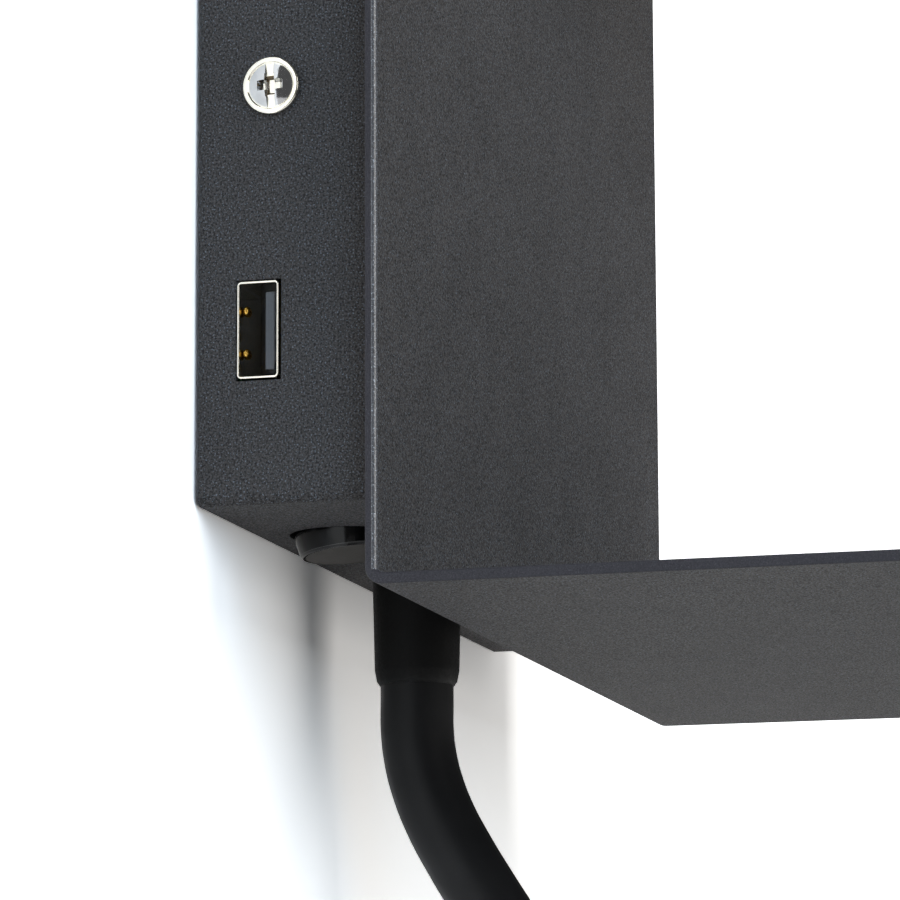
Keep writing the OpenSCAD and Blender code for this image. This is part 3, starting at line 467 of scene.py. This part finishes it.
def phosphor(name, colour):
    """Phosphor in clear silicone over the light source: grainy yellow that looks wet.

    Its grains are drawn coarser than they are, so that they show.
    """
    made, tree, place = start(name)
    grains = add(tree, NOISE, {"Vector": place, "Scale": 1 / (0.12 * MM), "Detail": 3}).outputs["Fac"]
    tones = {0: grains, 6: shade(colour, 0.75), 7: shade(colour, 1.15)}
    tint = add(tree, MIX, tones, data_type="RGBA").outputs[2]
    close(tree, tint, 0.12, grains, 0.01 * MM, Subsurface_Weight=0.1)
    return made


def clear_glass(name, colour):
    """Pressed clear glass: see-through, with the slight unevenness of a mould."""
    made, tree, place = start(name)
    wave = add(tree, NOISE, {"Vector": place, "Scale": 1 / (6 * MM), "Detail": 1}).outputs["Fac"]
    rough = add(tree, RANGE, [wave, 0.3, 0.7, 0.01, 0.05]).outputs[0]
    close(tree, shade(colour, 1), rough, wave, 0.05 * MM, Transmission_Weight=1.0, IOR=1.5)
    return made


def finish(slot):
    """The material of a slot, made when it is first asked for."""
    name = slot + "_surface"
    if name in bpy.data.materials:
        return bpy.data.materials[name]
    sizes, colours = bpy.context.scene.lamp_sizes, bpy.context.scene.lamp_colours
    makers = {
        # The coat is dull on the sheet's faces. Over the front edge it is glossier and carries pale specks,
        # a painted highlight line, and it is finer and more even on the sheared sides. The lamp head's coat
        # is black. Every coat has pale specks painted in as glints.
        "powder_coat": lambda n: powder_coat(n, colours.coat, sizes.coat_grain),
        "coat_edge_painted_highlight": lambda n: powder_coat(n, linear("4a4b50"), sizes.coat_grain, "c0c9d4", 0.28, 1.0),
        "coat_cut": lambda n: powder_coat(n, linear("3c3b40"), 0.22 * MM, "56565c", 0.6, 0.2, 0.8),
        "lamp_black": lambda n: powder_coat(n, colours.lamp, sizes.coat_grain, "55585e"),
        # Zinc on steel is a soft grey. Nickel is a warm silver on the rim; on the dome it is a sharper mirror
        # painted darker, as painted shade, and in the recess it is painted brown as painted shade. Spring
        # steel is plain, and gold gives small warm glints.
        "zinc_steel": lambda n: plated(n, linear("a7abb0"), 0.34, 0.02 * MM),
        "nickel_steel": lambda n: plated(n, linear("e2ded2"), 0.14, 0.03 * MM),
        "nickel_dome_painted_shade": lambda n: plated(n, linear("b4b5b6"), 0.08, 0.03 * MM),
        "nickel_recess_painted_shade": lambda n: plated(n, linear("93856f"), 0.3, 0.05 * MM),
        "spring_steel": lambda n: plated(n, linear("b4b6b8"), 0.26, 0.01 * MM),
        "gold_contact": lambda n: plated(n, linear("d9ae55"), 0.2, 0.01 * MM),
        # Extruded aluminium has a broad sheen, and the metallised reflector is close to a mirror.
        "sink_aluminium": lambda n: plated(n, linear("b9bcc0"), 0.38, 0.01 * MM),
        "reflector_metal": lambda n: plated(n, linear("e4e5e6"), 0.06, 0.0),
        # Of the plastics, the rocker is glossy at its side and rim and sandy on its face, the plug is
        # sandy, the capacitor's sleeve is glossy, and the other fittings are satin.
        "socket_plastic": lambda n: moulded(n, linear("50545a"), 0.5, contrast=0.08),
        "switch_plastic": lambda n: moulded(n, linear("0c0c0d"), 0.14, 0.6 * MM, 0.002 * MM, gloss=0.22),
        "rocker_rim": lambda n: moulded(n, linear("0c0c0d"), 0.2, 0.6 * MM, 0.002 * MM, gloss=0.9),
        "rocker_plastic": lambda n: moulded(n, colours.rocker, 0.66, 0.22 * MM, 0.02 * MM, 0.3, 0.2),
        "ivory_plastic": lambda n: moulded(n, linear("e4dcc6"), 0.4),
        "driver_plastic": lambda n: moulded(n, linear("e9e9e6"), 0.5),
        "clamp_nylon": lambda n: moulded(n, linear("1a1a1b"), 0.45),
        "plug_plastic": lambda n: moulded(n, linear("1b1b1c"), 0.42, 0.3 * MM, 0.02 * MM, 0.2),
        "capacitor_sleeve": lambda n: moulded(n, linear("1c2a5c"), 0.2),
        "led_board_white": lambda n: moulded(n, linear("eeeeea"), 0.3),
        # Rubber drinks the light. The jackets are satin and slightly dusty.
        "sleeve_rubber": lambda n: rubber(n, linear("111111")),
        "cord_jacket": lambda n: jacket(n, colours.cord),
        "wire_brown": lambda n: jacket(n, linear("6a3d1e")),
        "wire_blue": lambda n: jacket(n, linear("2b5aa0")),
        "wire_black": lambda n: jacket(n, linear("1b1b1c")),
        "wire_red": lambda n: jacket(n, linear("a32a25")),
        "circuit_board": lambda n: circuit_board(n, linear("1e5a34")),
        "transformer_tape": lambda n: wound_tape(n, linear("c79a2b")),
        "led_phosphor": lambda n: phosphor(n, linear("e8c64a")),
        "lens_glass": lambda n: clear_glass(n, linear("eef4f5")),
    }
    return makers[slot](name)


# ---- Stage ----

PAINT_REACH = 0.6  # metres from the lamp to where the wall and floor start to turn plain white
WHITE_REACH = 2.5  # and to where they are plain white


def seen_directly(tree):
    """1 for rays of the camera, of reflections and of glass, 0 for light that bounces."""
    path = add(tree, "ShaderNodeLightPath").outputs
    either = add(tree, MATH, [path["Is Camera Ray"], path["Is Glossy Ray"]], operation="MAXIMUM").outputs[0]
    return add(tree, MATH, [either, path["Is Transmission Ray"]], operation="MAXIMUM").outputs[0]


def white_surface(name, level, seen_level):
    """Painted white surface that keeps shadows near the lamp and turns plain white, strength 1, far off.

    Only rays that see it directly see the white, so it lights nothing. It is clear from behind.
    """
    made, tree, place = start(name)
    made.cycles.emission_sampling = "NONE"
    seen = seen_directly(tree)
    bright = add(tree, RANGE, [seen, 0, 1, level, seen_level]).outputs[0]
    paint = add(tree, "ShaderNodeBsdfDiffuse", {"Color": bright}).outputs[0]
    reach = add(tree, "ShaderNodeVectorMath", [place], operation="LENGTH").outputs["Value"]
    whiter = add(tree, RANGE, [reach, PAINT_REACH, WHITE_REACH, 0, 1]).outputs[0]
    far = add(tree, MATH, [seen, whiter], operation="MULTIPLY").outputs[0]
    white = add(tree, "ShaderNodeEmission", {"Strength": 1.0}).outputs[0]
    front = add(tree, "ShaderNodeMixShader", [far, paint, white]).outputs[0]
    clear = add(tree, "ShaderNodeBsdfTransparent").outputs[0]
    behind = add(tree, "ShaderNodeNewGeometry").outputs["Backfacing"]
    surface = add(tree, "ShaderNodeMixShader", [behind, front, clear]).outputs[0]
    add(tree, "ShaderNodeOutputMaterial", {"Surface": surface})
    return made


def backdrop(name, place, half, material, hole=None):
    """A large flat square that isn't part of the lamp; hole is the half size of an opening in it."""
    shape = bmesh.new()
    bmesh.ops.create_grid(shape, x_segments=1, y_segments=1, size=half)
    if hole:
        for axis, reach in ((Vector((1, 0, 0)), hole[0]), (Vector((0, 1, 0)), hole[1])):
            for side in (-1, 1):
                bmesh.ops.bisect_plane(
                    shape, geom=shape.verts[:] + shape.edges[:] + shape.faces[:],
                    plane_co=axis * reach * side, plane_no=axis,
                )
        inner = [f for f in shape.faces
                 if abs(f.calc_center_median().x) < hole[0] and abs(f.calc_center_median().y) < hole[1]]
        bmesh.ops.delete(shape, geom=inner, context="FACES")
    bmesh.ops.transform(shape, matrix=place, verts=shape.verts)
    mesh = bpy.data.meshes.new(name)
    shape.to_mesh(mesh)
    shape.free()
    mesh.materials.append(material)
    made = bpy.data.objects.new(name, mesh)
    bpy.context.scene.collection.objects.link(made)


def soft_lamp(name, at, aim, size, power, colour, mirrored=True):
    """A square soft lamp that faces a point; metal shows its shape unless mirrored is off."""
    light = bpy.data.lights.new(name, "AREA")
    light.shape = "SQUARE"
    light.size = size
    light.energy = power
    light.color = colour
    lamp = bpy.data.objects.new(name, light)
    lamp.location = at
    lamp.rotation_euler = (Vector(aim) - Vector(at)).to_track_quat("-Z", "Y").to_euler()
    lamp.visible_glossy = mirrored
    bpy.context.scene.collection.objects.link(lamp)


class LAMP_OT_camera(bpy.types.Operator):
    """Places the camera below and to the left of the shelf, as in the photograph"""

    bl_idname = "lamp.camera"
    bl_label = "Camera"

    def execute(self, context):
        """Sets the camera from its solved place, heading, pitch and roll."""
        at = (-0.65263, -0.19195, -0.21217)
        heading, pitch, roll = radians(-74.716), radians(100.031), radians(-0.212)
        view = bpy.data.cameras.new("camera")
        view.sensor_width = 36
        view.lens = 184.564
        camera = bpy.data.objects.new("camera", view)
        camera.matrix_world = (
            Matrix.Translation(at) @ Matrix.Rotation(heading, 4, "Z")
            @ Matrix.Rotation(pitch, 4, "X") @ Matrix.Rotation(roll, 4, "Z")
        )
        context.scene.collection.objects.link(camera)
        context.scene.camera = camera
        return {"FINISHED"}


class LAMP_OT_stage(bpy.types.Operator):
    """White wall and floor, three soft lamps and a dim, even surround"""

    bl_idname = "lamp.stage"
    bl_label = "Stage"

    def execute(self, context):
        """Makes the wall and floor, the lamps and the world."""
        stage = context.scene.lamp_stage
        context.scene.view_settings.view_transform = "Standard"
        half = 4.0
        gap = 0.5 * MM
        inset = 3 * MM
        floor_z = -1.35
        # Each paint has a level for light that bounces off it and one for rays that see it
        stand = Matrix.Translation((0, gap, 0)) @ Matrix.Rotation(radians(90), 4, "X")
        hole = (HOUSING_HI.x - inset, HOUSING_HI.z - inset)
        backdrop("wall", stand, half, white_surface("wall_paint", 0.9, 2.1), hole)
        low = Matrix.Translation((0, 0, floor_z))
        backdrop("floor", low, half, white_surface("floor_paint", 0.2, 0.9))
        aim = (0, -0.02, -0.1)
        soft_lamp("left", (-2.0, -1.4, 0.5), aim, 1.4, stage.left, (0.68, 0.84, 1), False)
        soft_lamp("front", (-0.7, -2.2, 0.5), aim, 1.4, stage.front, (1, 0.99, 0.96))
        soft_lamp("low", (0.7, -1.4, -1.1), aim, 1.8, stage.low, (1, 0.97, 0.93))
        world = bpy.data.worlds.new("surround")
        world.use_nodes = True
        tree = world.node_tree
        tree.nodes.clear()
        sky = add(tree, "ShaderNodeBackground", {"Color": (1, 1, 1, 1), "Strength": stage.sky})
        add(tree, "ShaderNodeOutputWorld", {"Surface": sky.outputs[0]})
        context.scene.world = world
        return {"FINISHED"}


# ---- The lamp's pieces ----


class LAMP_OT_plug(bpy.types.Operator):
    """Moulded plug with a ribbed strain relief, two pins, two earth clips and the coil's tie"""

    bl_idname = "lamp.plug"
    bl_label = "Plug and tie"

    def execute(self, context):
        """Turns the plug's body, cuts its notches and ribs, and rounds its metal."""
        step = context.scene.lamp_sizes.rib_step / MM
        relief, body, tip, plug_r = 28, 34, 0.25, 18
        neck_r, widening, rib_depth, plain = 6.4, 1.6, 1.1, 3
        foot = relief + body
        outline = [(0, 0, 0), (neck_r, 0, tip)]
        down = plain
        while down < relief - plain:
            r = neck_r + widening * down / relief
            outline += [(r, -down, tip), (r - rib_depth, -down - 0.5, tip), (r - rib_depth, -down - 1.3, tip),
                        (r + 0.1, -down - 1.8, tip)]
            down += step
        outline += [(8, -relief, 1), (12, -relief - 4, 2.5), (14.5, -relief - 12, 4), (14.5, -50, 1.5),
                    (plug_r, -54, 1.5), (plug_r, -foot, 0.8), (0, -foot, 0)]
        plug = turned(filleted(outline, 3), 96)
        cutter = bmesh.new()
        for side in (-1, 1):
            block(cutter, (4.8, 6, 18), (side * plug_r, 0, -foot))
            block(cutter, (6.4, 3.4, 18), (0, side * plug_r, -foot))
        plug = cut(plug, cutter)
        round_off(plug, sharp_edges(plug), 0.25)
        place_mm(plug, PLUG_AT)
        piece("plug", plug, "base", [finish("plug_plastic")], ["plug_body"])
        pins = bmesh.new()
        pin_r, pin_l, pin_root, pin_step = 2.4, 19, 2, 19
        for side in (-1, 1):
            root, end = pin_root - foot, -foot - pin_l
            outline = filleted([(0, root, 0), (pin_r, root, 0), (pin_r, end, 1.2), (0, end, 0)])
            join(pins, turned(outline, 32), Matrix.Translation((side * pin_step / 2, 0, 0)))
        place_mm(pins, PLUG_AT)
        piece("pins", pins, "base", [finish("nickel_steel")], ["plug_pins"])
        softened("plug_clips", "base", 0.15 * MM)
        softened("coil_tie", "base", 0.3 * MM)
        return {"FINISHED"}


class LAMP_OT_cord(bpy.types.Operator):
    """One cord from the sleeve to the plug, with its spare length in a coil below the shelf"""

    bl_idname = "lamp.cord"
    bl_label = "Cord"

    def execute(self, context):
        curve = bpy.data.curves.new("cord", "CURVE")
        curve.dimensions = "3D"
        curve.bevel_depth = CORD_D / 2
        curve.bevel_resolution = 6
        curve.resolution_u = 5
        curve.use_fill_caps = True
        points = cord_points()
        line = curve.splines.new("BEZIER")
        line.bezier_points.add(len(points) - 1)
        for knot, at in zip(line.bezier_points, points):
            knot.co = at
            knot.handle_left_type = knot.handle_right_type = "AUTO"
        cord = bpy.data.objects.new("cord", curve)
        context.scene.collection.objects.link(cord)
        curve.materials.append(finish("cord_jacket"))
        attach(cord, "base")
        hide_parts("cord_free", "cord_coil")
        return {"FINISHED"}


class LAMP_OT_sheet_metal(bpy.types.Operator):
    """Folded shelf plate and housing, with the rolled edges that punching and coating leave"""

    bl_idname = "lamp.sheet_metal"
    bl_label = "Sheet metal"

    def execute(self, context):
        """Rounds the plate's room side more than its wall side, and the housing's edges a little."""
        sizes = context.scene.lamp_sizes
        near = 0.01 * MM
        fold_reach = 2.4 * MM
        painted_highlight_foot = SHELF_TOP + 0.35 * MM

        def in_front(edge):
            """Whether an edge lies on the room side, above the shelf."""
            return all(v.co.y <= FRONT_Y + near and v.co.z >= SHELF_TOP - near for v in edge.verts)

        def behind(edge):
            """Whether an edge lies on the wall side or under the shelf."""
            return all(v.co.y >= HOUSING_LO.y - near or v.co.z <= PLATE_LO.z + fold_reach for v in edge.verts)

        plate = merged("shelf_plate")
        # Room-side rounding above the shelf takes the edge coat, with pale specks painted in as a highlight
        # line; the rest of the rounding, the wall side and the cut ends take the cut coat
        for face in round_off(plate, sharp_edges(plate, in_front), sizes.front_edge, 5):
            face.material_index = 1 if face.calc_center_median().z > painted_highlight_foot else 2
        for face in round_off(plate, sharp_edges(plate, behind), sizes.rear_edge, 2):
            face.material_index = 2
        for face in plate.faces:
            if abs(face.normal.x) > 0.99:
                face.material_index = 2
        coat = [finish("powder_coat"), finish("coat_edge_painted_highlight"), finish("coat_cut")]
        piece("folded_plate", plate, "base", coat, ["shelf_plate"])
        softened("housing", "base", sizes.rear_edge)
        softened("wall_plate", "base", sizes.rear_edge)
        return {"FINISHED"}


class LAMP_OT_side_screws(bpy.types.Operator):
    """Four pan-head screws with a slot and a cross, each stopped at its own angle"""

    bl_idname = "lamp.side_screws"
    bl_label = "Side screws"

    def execute(self, context):
        """Turns the head and shank, cuts the recess and places the four screws."""
        lo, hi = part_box("side_screws")
        shank_r, shank_l, head_r = 2, 8, 3.95
        dome_r, dome_foot, dome_h, dome_rings = 3.0, 1.0, 0.7, 8
        head_h = dome_foot + dome_h
        ball_r = (dome_r ** 2 + dome_h ** 2) / (2 * dome_h)
        outline = filleted([
            (0, -shank_l, 0), (shank_r, -shank_l, 0.4), (shank_r, -0.2, 0.1), (head_r - 0.5, -0.02, 0),
            (head_r, 0.15, 0.1), (head_r, 1.1, 0.3), (3.3, 1.12, 0.06), (3.14, 0.94, 0.06),
            (dome_r, dome_foot, 0),
        ])
        for k in range(1, dome_rings + 1):
            r = dome_r * (1 - k / dome_rings)
            outline.append(Vector((r, head_h - ball_r + sqrt(ball_r ** 2 - r ** 2))))
        screws = bmesh.new()
        # Side of the housing, end of the housing, and how far the screw is turned, in degrees
        spots = [(-1, -1, 2.5), (-1, 1, 41), (1, -1, 77), (1, 1, 15)]
        for x, z, turn in spots:
            # The slot, then the two arms of the cross, which narrow towards their foot
            cutter = bmesh.new()
            block(cutter, (1.15, 6.1, 2), (0, 0, 1.9))
            block(cutter, (3.9, 1.5, 1.4), (0, 0, 1.1), 0.6)
            block(cutter, (1.5, 3.6, 1.6), (0, 0, 1.0), 0.5)
            screw = cut(turned(outline, 72), cutter)
            screw.normal_update()
            # Dome faces take a darker nickel, painted shade for what the dome mirrors, and the slot and cross
            # walls below it a brown nickel, painted shade in the recess
            for face in screw.faces:
                middle = face.calc_center_median()
                if Vector(middle.xy).length < dome_r - 0.02 and middle.z > 0 and abs(face.normal.z) < 0.9999:
                    face.material_index = 1 if middle.z > 0.9 else 2
            round_off(screw, sharp_edges(screw), 0.05, 2)
            at = Vector((lo.x + head_h * MM if x < 0 else hi.x - head_h * MM, (lo.y + hi.y) / 2,
                         lo.z + head_r * MM if z < 0 else hi.z - head_r * MM))
            place_mm(screw, at, Vector((x, 0, 0)), radians(turn))
            join(screws, screw)
            screw.free()
        metals = [finish("nickel_steel"), finish("nickel_dome_painted_shade"), finish("nickel_recess_painted_shade")]
        piece("pan_screws", screws, "base", metals, ["side_screws"])
        return {"FINISHED"}


class LAMP_OT_socket(bpy.types.Operator):
    """USB socket: rolled steel shell, tongue, gilt contacts and the shell's spring dimples"""

    bl_idname = "lamp.socket"
    bl_label = "USB socket"

    def execute(self, context):
        """Rolls the shell's rim, softens the tongue and adds the dimples."""
        sizes = context.scene.lamp_sizes
        softened("usb_shell", "base", sizes.small_edge, 3)
        softened("usb_insulator", "base", sizes.small_edge)
        dimples = bmesh.new()
        middle = (SHELL_LO + SHELL_HI) / 2
        half = (1.1 * MM, 0.55 * MM, 0.75 * MM)
        from_mouth, from_back, from_middle = 2.2 * MM, 0.8 * MM, 2.9 * MM
        for side in (-1, 1):
            at = (SHELL_LO.x + from_mouth, SHELL_HI.y - from_back, middle.z + side * from_middle)
            place = Matrix.Translation(at) @ Matrix.Diagonal((*half, 1))
            bmesh.ops.create_uvsphere(dimples, u_segments=24, v_segments=12, radius=1, matrix=place)
        piece("spring_dimples", dimples, "base", [finish("gold_contact")])
        return {"FINISHED"}


class LAMP_OT_rocker(bpy.types.Operator):
    """Round rocker with a matt face and a glossy side"""

    bl_idname = "lamp.rocker"
    bl_label = "Rocker"

    def execute(self, context):
        """Rounds the rocker and gives its pressed face the matt finish."""
        rim = 0.3 * MM
        half_throw = radians(5.8)
        face_top = HOUSING_LO.z - 1.5 * MM
        rocker = merged("switch_rocker")
        for face in round_off(rocker, sharp_edges(rocker), rim, 3):
            face.material_index = 2
        upright = Matrix.Rotation(half_throw, 3, "X")
        for face in rocker.faces:
            if (upright @ face.normal).z < -0.9 and face.calc_center_median().z < face_top:
                face.material_index = 1
        materials = [finish("switch_plastic"), finish("rocker_plastic"), finish("rocker_rim")]
        piece("rocker_finished", rocker, "rocker", materials, ["switch_rocker"])
        return {"FINISHED"}


class LAMP_OT_sleeve(bpy.types.Operator):
    """Rubber sleeve that the cord leaves the housing through"""

    bl_idname = "lamp.sleeve"
    bl_label = "Cord sleeve"

    def execute(self, context):
        """Softens the sleeve."""
        softened("cord_sleeve", "base", context.scene.lamp_sizes.small_edge, 3)
        return {"FINISHED"}


class LAMP_OT_swivel(bpy.types.Operator):
    """Rosette, bush, stem and the tilt pin with its nut and washers"""

    bl_idname = "lamp.swivel"
    bl_label = "Swivel and stem"

    def execute(self, context):
        """Softens each piece of the swivel."""
        for node, body, radius in (
            ("rosette", "base", 0.3), ("swivel_bush", "base", 0.2), ("stem", "arm", 0.35),
            ("tilt_pin", "arm", 0.3), ("tilt_nut", "arm", 0.25), ("tilt_washers", "arm", 0.12),
        ):
            softened(node, body, radius * MM, 3)
        return {"FINISHED"}


class LAMP_OT_head(bpy.types.Operator):
    """Shade with its cap, heat sink, reflector, light source and lens"""

    bl_idname = "lamp.head"
    bl_label = "Lamp head"

    def execute(self, context):
        """Softens the head's pieces."""
        for node, radius in (
            ("shade_cap", 0.4), ("lamp_shade", 0.4), ("lens_ring", 0.3), ("lens", 0.4),
            ("reflector", 0.15), ("heat_sink", 0.15), ("led_board", 0.1), ("led_chip", 0.25),
        ):
            softened(node, "head", radius * MM, 3)
        return {"FINISHED"}


class LAMP_OT_inner_parts(bpy.types.Operator):
    """Finishes of the CAD nodes that stay as they are, most of them inside the housing"""

    bl_idname = "lamp.inner_parts"
    bl_label = "Inner parts"

    def execute(self, context):
        """Gives each node that no piece replaces its slot's material."""
        for name, node in frame["nodes"].items():
            if node.hide_render:
                continue
            made = finish(slot_of(name))
            if node.material_slots:
                node.material_slots[0].material = made
            else:
                node.data.materials.append(made)
        return {"FINISHED"}


OPERATORS = [
    LAMP_OT_camera, LAMP_OT_plug, LAMP_OT_cord, LAMP_OT_stage, LAMP_OT_sheet_metal, LAMP_OT_side_screws,
    LAMP_OT_socket, LAMP_OT_rocker, LAMP_OT_sleeve, LAMP_OT_swivel, LAMP_OT_head, LAMP_OT_inner_parts,
]


class LAMP_PT_parts(bpy.types.Panel):
    """The lamp's sizes, colours and pieces"""

    bl_idname = "LAMP_PT_parts"
    bl_label = "Wall lamp with shelf"
    bl_space_type = "VIEW_3D"
    bl_region_type = "UI"
    bl_category = "Lamp"

    def draw(self, context):
        """Lists the properties and a button for each operator."""
        for group in (context.scene.lamp_sizes, context.scene.lamp_colours, context.scene.lamp_stage):
            for name in group.__annotations__:
                self.layout.prop(group, name)
        for operator in OPERATORS:
            self.layout.operator(operator.bl_idname)


GROUPS = {"lamp_sizes": LampSizes, "lamp_colours": LampColours, "lamp_stage": LampStage}
CLASSES = [*GROUPS.values(), *OPERATORS, LAMP_PT_parts]


def register():
    """Registers the classes and the scene's properties."""
    for each in CLASSES:
        bpy.utils.register_class(each)
    for name, group in GROUPS.items():
        setattr(bpy.types.Scene, name, PointerProperty(type=group))


def unregister():
    """Removes the scene's properties and the classes."""
    for name in GROUPS:
        delattr(bpy.types.Scene, name)
    for each in reversed(CLASSES):
        bpy.utils.unregister_class(each)


def main():
    """Builds the whole lamp."""
    register()
    for operator in OPERATORS:
        group, name = operator.bl_idname.split(".")
        getattr(getattr(bpy.ops, group), name)()


if __name__ == "__main__":
    main()
